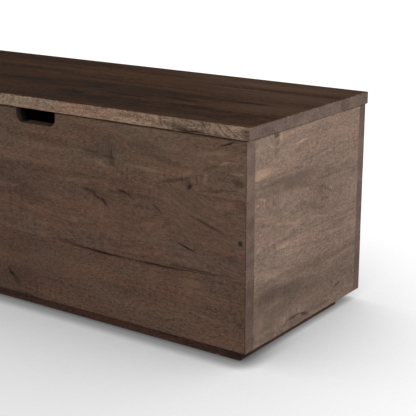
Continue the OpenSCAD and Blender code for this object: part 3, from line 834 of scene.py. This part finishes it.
def make_plug_material():
    """Filler in the screw holes: dark at the middle height, nearer the wood low down, and
    hardly to be seen at the top."""
    material, g, shader = new_material("plug_filler", 0.3, 0.7)
    place = g.object_place()
    height = g.split(place)[2]
    middle_height = CASE_BOX[1].z * 0.55
    below = g.ramp(height, middle_height - 0.08, middle_height - 0.03)
    above = g.ramp(height, middle_height + 0.03, middle_height + 0.08)
    grit = g.noise(place, (900, 900, 900), detail=3)
    base = g.mix(below, linear(94, 74, 63), linear(60, 52, 47))
    base = g.mix(above, base, linear(124, 101, 86))
    g.put(shader.inputs["Base Color"],
          g.mix(g.ramp(grit, 0.3, 0.7, 0.0, 0.2), base, linear(40, 32, 28)))
    add_bump(g, shader, grit, 0.15 * MM)
    return material


PLUG_WOOD = make_plug_material()


def islands(node):
    """The (lowest corner, highest corner) of each separate solid in a CAD node."""
    bm = welded(node)
    seen, boxes = set(), []
    for first in bm.verts:
        if first in seen:
            continue
        seen.add(first)
        group, waiting = [], [first]
        while waiting:
            vertex = waiting.pop()
            group.append(vertex.co.copy())
            for edge in vertex.link_edges:
                other = edge.other_vert(vertex)
                if other not in seen:
                    seen.add(other)
                    waiting.append(other)
        boxes.append((Vector([min(p[i] for p in group) for i in range(3)]),
                      Vector([max(p[i] for p in group) for i in range(3)])))
    bm.free()
    return boxes


def lathe(bm, profile, matrix, segments=32):
    """Turns a profile of (radius, height) points about Z, then places it."""
    rings = []
    for radius, height in profile:
        if radius < 0.001 * MM:
            rings.append([bm.verts.new(matrix @ Vector((0, 0, height)))])
            continue
        angles = [2 * math.pi * i / segments for i in range(segments)]
        points = [Vector((radius * math.cos(a), radius * math.sin(a), height)) for a in angles]
        rings.append([bm.verts.new(matrix @ point) for point in points])
    for low, high in zip(rings, rings[1:]):
        for i in range(segments):
            j = (i + 1) % segments
            corners = [low[i % len(low)], low[j % len(low)],
                       high[j % len(high)], high[i % len(high)]]
            kept = list(dict.fromkeys(corners))
            if len(kept) > 2:
                bm.faces.new(kept)
    return rings


def facing_matrix(place, direction):
    """Places a shape made along +Z so that it points along a direction."""
    turn = Vector(direction).to_track_quat("Z", "Y").to_matrix().to_4x4()
    return Matrix.Translation(place) @ turn


def solids_facing(node, direction):
    """For each solid of a node: the matrix that points +Z along it from its near end, its
    radius and its length. Sideways directions are mirrored on the frame's negative side."""
    axis = max(range(3), key=lambda i: abs(direction[i]))
    for low, high in islands(node):
        place = (low + high) / 2
        aim = Vector(direction)
        if axis != 2 and place[axis] < 0:
            aim[axis] = -aim[axis]
        place[axis] = low[axis] if aim[axis] > 0 else high[axis]
        radius = max(high[i] - low[i] for i in range(3) if i != axis) / 2
        yield facing_matrix(place, aim), radius, high[axis] - low[axis]


def cross_outline(bm, matrix, reach, half, height):
    """The twelve corners of a cross recess, in order round it."""
    corners = [(reach, -half), (reach, half), (half, half), (half, reach), (-half, reach),
               (-half, half), (-reach, half), (-reach, -half), (-half, -half), (-half, -reach),
               (half, -reach), (half, -half)]
    return [bm.verts.new(matrix @ Vector((x, y, height))) for x, y in corners]


def add_screw(bm, matrix, head_radius, shank_radius, length, pan):
    """A wood screw that points along +Z, with a cross recess in its head's face at zero."""
    edge = 0.18 * MM
    if pan:
        profile = [(head_radius, edge), (head_radius, head_radius * 0.5),
                   (shank_radius, head_radius * 0.5)]
    else:
        profile = [(head_radius, edge), (shank_radius, head_radius - shank_radius)]
    tip = length - 2.2 * shank_radius
    turns = int((tip - profile[-1][1]) / (2 * shank_radius * 0.55))
    thread = []
    for i in range(turns):
        at = profile[-1][1] + (i + 1) * (tip - profile[-1][1]) / (turns + 1)
        thread += [(shank_radius * 0.82, at - shank_radius * 0.3), (shank_radius, at),
                   (shank_radius * 0.82, at + shank_radius * 0.3)]
    profile = [(head_radius - edge, 0.0)] + profile + thread
    profile += [(shank_radius * 0.8, tip), (0.0, length)]
    rings = lathe(bm, profile, matrix, 24)
    recess = cross_outline(bm, matrix, head_radius * 0.56, head_radius * 0.13, 0.0)
    floor = cross_outline(bm, matrix, head_radius * 0.3, head_radius * 0.09, head_radius * 0.42)
    outer = rings[0]
    rim = [bm.edges.get((outer[i], outer[(i + 1) % len(outer)])) for i in range(len(outer))]
    inner = [bm.edges.new((recess[i], recess[(i + 1) % 12])) for i in range(12)]
    bmesh.ops.triangle_fill(bm, edges=rim + inner, use_beauty=True)
    add_walls(bm, recess, floor)
    bm.faces.new(floor)


SHANK_RADIUS = {"corner_screws": 2.2 * MM, "batten_screws": 2.0 * MM, "plinth_screws": 2.0 * MM}
SMALL_SHANK_RADIUS = 1.6 * MM
UP = (0, 0, 1)
DOWN = (0, 0, -1)
OUT_OF_END = (1, 0, 0)
OUT_OF_FACE = (0, 1, 0)
INTO_FACE = (0, -1, 0)


def make_screws(node, direction, pan=False):
    """All of a node's screws, from their heads along a direction."""
    shank = SHANK_RADIUS.get(node, SMALL_SHANK_RADIUS)
    bm = bmesh.new()
    for matrix, head_radius, length in solids_facing(node, direction):
        add_screw(bm, matrix, head_radius, shank, length, pan)
    return settle(make_object(node + "_cut", bm, SCREW_ZINC), [node], 30)


make_screws("hinge_case_screws", DOWN)
for name in ("hinge_lid_screws", "batten_screws", "strut_lid_screws", "plinth_screws"):
    make_screws(name, UP)
make_screws("strut_case_screws", OUT_OF_END)
make_screws("corner_screws", INTO_FACE, pan=True)


def turned_group(node, finish, material, profile_of, direction):
    """Turned pieces, one at each solid of a node. profile_of(radius, height) is a closed
    profile from the axis at the inner end to the axis at the outer face."""
    bm = bmesh.new()
    for matrix, radius, height in solids_facing(node, direction):
        lathe(bm, profile_of(radius, height), matrix)
    return settle(make_object(node + finish, bm, material), [node], 30)


def plug_profile(radius, height):
    sunk = height - 0.35 * MM
    return [(0, 0), (radius, 0), (radius, sunk - 0.3 * MM), (radius - 0.3 * MM, sunk),
            (radius * 0.6, sunk - 0.12 * MM), (0, sunk - 0.2 * MM)]


def brad_profile(radius, height):
    sunk = height - 0.5 * MM
    return [(0, 0), (radius * 0.5, 2 * MM), (radius * 0.75, 4 * MM), (radius * 0.75, sunk - 1.5 * MM),
            (radius, sunk - 1.2 * MM), (radius, sunk - 0.1 * MM), (radius * 0.8, sunk),
            (0, sunk - 0.1 * MM)]


def bumper_profile(radius, height):
    return [(0, 0), (radius, 0), (radius, height * 0.45), (radius * 0.93, height * 0.75),
            (radius * 0.75, height * 0.94), (radius * 0.4, height), (0, height)]


def glide_profile(radius, height):
    foot = 2 * MM
    return [(0, 0), (0.6 * MM, 0), (3 * MM, 1 * MM), (3 * MM, height - foot),
            (radius, height - foot), (radius, height - 0.6 * MM), (radius - 0.7 * MM, height),
            (0, height)]


turned_group("corner_plugs", "_turned", PLUG_WOOD, plug_profile, OUT_OF_FACE)
turned_group("corner_brads", "_headed", BRAD_BLACK, brad_profile, OUT_OF_FACE)
turned_group("lid_bumpers", "_domed", BUMPER_RUBBER, bumper_profile, DOWN)
turned_group("floor_glides", "_moulded", GLIDE_NYLON, glide_profile, DOWN)

for name in ("left", "centre", "right"):
    make_eased("hinge_case_leaf_" + name, HINGE_STEEL, 0.25 * MM)
    make_eased("hinge_lid_leaf_" + name, HINGE_STEEL, 0.25 * MM)
make_eased("hinge_pins", HINGE_STEEL, 0.5 * MM, 3)


# ---- Gas struts ----

def tube_profile(low, high):
    """Painted tube: rounded foot, a crimped groove near the mouth and a rolled lip."""
    radius, bore, wall = 7.5 * MM, 3.1 * MM, 0.9 * MM
    groove = high - 11 * MM
    rounded = [(radius * math.sin(a), low + 2 * MM * (1 - math.cos(a)))
               for a in [math.radians(d) for d in (0, 40, 65, 80, 90)]]
    crimp = [(radius, groove - 2 * MM), (radius - 0.5 * MM, groove - 1 * MM),
             (radius - 0.8 * MM, groove), (radius - 0.5 * MM, groove + 1 * MM),
             (radius, groove + 2 * MM)]
    mouth = [(radius, high - 1.6 * MM), (radius - 0.5 * MM, high - 0.5 * MM),
             (radius - 1.6 * MM, high), (bore + 1.2 * MM, high), (bore, high - 0.6 * MM),
             (bore, high - 7 * MM), (radius - wall, high - 7 * MM),
             (radius - wall, low + 3 * MM), (0, low + 3 * MM)]
    return rounded + crimp + mouth


def rod_profile(low, high):
    """Bright rod with its piston at the low end."""
    radius, piston_radius = 3 * MM, 6.4 * MM
    top = low + 6 * MM
    return [(0, low), (piston_radius - 0.6 * MM, low), (piston_radius, low + 0.6 * MM),
            (piston_radius, top - 0.6 * MM), (piston_radius - 0.6 * MM, top), (radius, top),
            (radius, high - 0.4 * MM), (radius - 0.3 * MM, high), (0, high)]


def along_axis(node, foot, aim):
    """How far a CAD node reaches along the strut, as (start, end) from its foot."""
    reach = [(v.co - foot).dot(aim) for v in frame["nodes"][node].data.vertices]
    return min(reach), max(reach)


def make_clip(name, at, side, aim, node):
    """The spring wire that holds a ball in its socket: a bow across the mouth and round."""
    bm = bmesh.new()
    wire, bow = 0.55 * MM, 8.3 * MM
    outer = Vector((side, 0, 0))
    third = outer.cross(aim).normalized()
    ring_count, sides = 28, 10
    centres = []
    for i in range(ring_count + 1):
        angle = math.radians(-150 + 300 * i / ring_count)
        centres.append(at + (third * math.sin(angle) - aim * math.cos(angle)) * bow
                       + outer * 1.4 * MM)
    rings = []
    for i, centre in enumerate(centres):
        ahead = centres[min(i + 1, ring_count)] - centres[max(i - 1, 0)]
        ahead.normalize()
        right = ahead.cross(outer).normalized()
        rings.append([bm.verts.new(centre + (right * math.cos(t) + outer * math.sin(t)) * wire)
                      for t in [2 * math.pi * k / sides for k in range(sides)]])
    skin(bm, rings)
    piece = make_object(name, bm, CLIP_STEEL)
    piece.data.shade_smooth()
    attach(piece, BODY[node])


for side, sign in (("left", -1), ("right", 1)):
    foot, head = JOINT_AT["tube_pivot_" + side], JOINT_AT["rod_pivot_" + side]
    aim = (head - foot).normalized()
    for node, finish, profile_of, material in (
            ("strut_cylinder_" + side, "_painted", tube_profile, STRUT_BLACK),
            ("strut_rod_" + side, "_polished", rod_profile, ROD_CHROME)):
        bm = bmesh.new()
        lathe(bm, profile_of(*along_axis(node, foot, aim)), facing_matrix(foot, head - foot), 48)
        settle(make_object(node + finish, bm, material), [node], 30)
    for part in ("cylinder", "rod"):
        make_eased(f"{part}_socket_{side}", SOCKET_NYLON, 0.5 * MM, 3)
    make_clip("cylinder_clip_" + side, foot, sign, aim, "cylinder_socket_" + side)
    make_clip("rod_clip_" + side, head, sign, -aim, "rod_socket_" + side)
    for part in ("case", "lid"):
        make_eased(f"strut_{part}_bracket_{side}", BRACKET_BLACK, 0.4 * MM)


# ---- Studio ----

def make_sweep():
    """A wide pale floor that curves up into a wall all round. It glows, with painted light that is brighter
    towards the back, the right and far off, and painted shadow that darkens it softly round and under the bench,
    most in front and least at the back and right."""
    material, g, shader = new_material("studio_pale", 0.0, 0.9)
    place = g.split(g.object_place())
    # Painted shadow: the glow is darkened where the bench hides the floor from its surroundings.
    painted_occlusion_shadow = g.node("ShaderNodeAmbientOcclusion", samples=12)
    painted_occlusion_shadow.inputs["Distance"].default_value = 0.9
    level = g.plus(place[1], g.times(place[0], 0.5))
    flat = g.join(place[0], place[1], 0.0)
    away = g.vector("LENGTH", flat)
    # Painted light: brighter towards the back and right, and brighter still far off.
    glow = g.math("MAXIMUM", g.ramp(level, -0.6, 0.7, 0.90, 1.12),
                  g.ramp(away, 1.1, 2.6, 0.0, 1.12))
    middle = (PLINTH_BOX[0] + PLINTH_BOX[1]) / 2
    half = (PLINTH_BOX[1] - PLINTH_BOX[0]) / 2
    off_middle = [g.math("ABSOLUTE", g.minus(place[i], middle[i])) for i in (0, 1)]
    beyond = [g.math("MAXIMUM", 0.0, g.minus(off_middle[i], half[i])) for i in (0, 1)]
    gap = g.vector("LENGTH", g.join(beyond[0], beyond[1], 0.0))
    # Painted shadow: darker close round the plinth, deepest in front.
    depth = g.ramp(place[1], FRONT_Y - 0.03, FRONT_Y + 0.23, 0.54, 0.0)
    painted_contact_shadow = g.times(depth, g.ramp(gap, 0.012, 0.05, 1.0, 0.0))
    glow = g.times(glow, g.minus(1.0, painted_contact_shadow))
    speckle = g.noise(flat, (90, 90, 90), detail=3)
    glow = g.times(glow, g.ramp(speckle, 0.2, 0.8, 0.985, 1.0))
    shader.inputs["Base Color"].default_value = (0.0, 0.0, 0.0, 1.0)
    shader.inputs["Emission Color"].default_value = (1.0, 1.0, 1.0, 1.0)
    g.put(shader.inputs["Emission Strength"], g.times(glow, painted_occlusion_shadow.outputs["AO"]))
    bm = bmesh.new()
    floor_radius, wall_radius, wall_height, bend = 7.0, 8.5, 7.0, 12
    profile = [(0, 0), (1.5, 0), (3.5, 0), (floor_radius, 0)]
    for i in range(1, bend + 1):
        angle = math.pi / 2 * i / bend
        profile.append((floor_radius + (wall_radius - floor_radius) * math.sin(angle),
                        (wall_radius - floor_radius) * (1 - math.cos(angle))))
    profile.append((wall_radius, wall_height))
    lathe(bm, profile, Matrix.Identity(4), 96)
    sweep = make_object("studio_sweep", bm, material)
    sweep.data.shade_smooth()
    sweep.visible_diffuse = False
    sweep.visible_glossy = False
    sweep.visible_shadow = False


def make_world():
    """Soft light from all round: strongest low on the right, weak from overhead."""
    world = bpy.data.worlds.new("soft_studio")
    bpy.context.scene.world = world
    world.use_nodes = True
    g = Graph(world.node_tree)
    background = world.node_tree.nodes["Background"]
    aim = g.node("ShaderNodeTexCoord").outputs["Generated"]
    parts = g.split(aim)
    overhead = g.ramp(parts[2], 0.0, 0.55, 0.32, 0.20)
    below = g.ramp(parts[2], -0.35, 0.0, 0.16, 1.0)
    to_right = g.ramp(parts[0], -0.4, 1.0, 0.85, 1.4)
    to_front = g.ramp(parts[1], -1.0, 0.4, 1.1, 0.7)
    level = g.times(g.times(overhead, below), g.times(to_right, to_front))
    g.put(background.inputs["Strength"], level)
    background.inputs["Color"].default_value = (1.0, 0.99, 0.975, 1.0)


def area_light(name, place, target, size, power, glossy=True):
    data = bpy.data.lights.new(name, "AREA")
    data.shape = "RECTANGLE"
    data.size, data.size_y = size
    data.energy = power
    light = add_object(name, data)
    light.location = place
    light.rotation_euler = (Vector(target) - Vector(place)).to_track_quat("-Z", "Y").to_euler()
    light.visible_glossy = glossy


CAMERA_PLACE = (1.6010, -1.8600, 0.8660)
CAMERA_AZIMUTH = 35.275
CAMERA_PITCH = 15.945
CAMERA_LENS = 97.21


def make_camera():
    data = bpy.data.cameras.new("camera")
    data.lens = CAMERA_LENS
    data.sensor_width = 36.0
    camera = add_object("camera", data)
    camera.location = CAMERA_PLACE
    camera.rotation_euler = (math.radians(90 - CAMERA_PITCH), 0, math.radians(CAMERA_AZIMUTH))
    bpy.context.scene.camera = camera


make_sweep()
make_world()
bench_middle = (cad_box[0] + cad_box[1]) / 2
area_light("key", (3.75, -0.5, 1.1), bench_middle, (2.2, 1.8), 95)
area_light("front_fill", (-0.6, -4.2, 1.3), bench_middle, (3.0, 2.0), 42)
area_light("back_fill", (-0.8, 4.4, 0.7), bench_middle, (3.0, 1.2), 50, glossy=False)
area_light("left_fill", (-4.0, 0.3, 0.8), bench_middle, (2.4, 1.2), 30, glossy=False)
make_camera()
bpy.context.scene.view_settings.view_transform = "Standard"
